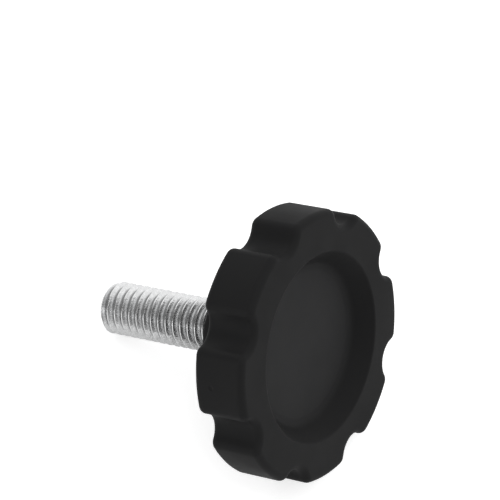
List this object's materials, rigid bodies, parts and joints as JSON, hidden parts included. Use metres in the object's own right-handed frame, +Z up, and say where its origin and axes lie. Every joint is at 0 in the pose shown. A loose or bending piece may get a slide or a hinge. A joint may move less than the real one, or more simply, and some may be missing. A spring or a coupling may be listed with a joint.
{
  "type": "clamping screw",
  "caption": "Clamping screw: a round lobed black plastic hand knob, dished in front, with a hub and a zinc-plated threaded steel stud moulded in.",
  "frame": {"origin": "on the surface the screw lies on, under the middle of its box", "axes": "+Z up; +X from the stud's tip towards the knob, so the screw's axis lies in the XZ plane and droops towards -X; Y across the knob"},
  "size_m": [0.0326, 0.0294, 0.0284],
  "materials": {
    "black_plastic": "moulded glass-filled nylon, semi-matt with a fine sparked grain",
    "plated_steel": "bright zinc-plated rolled thread"
  },
  "bodies": {
    "root": {"knob": "black_plastic", "stud": "plated_steel"}
  },
  "joints": []
}
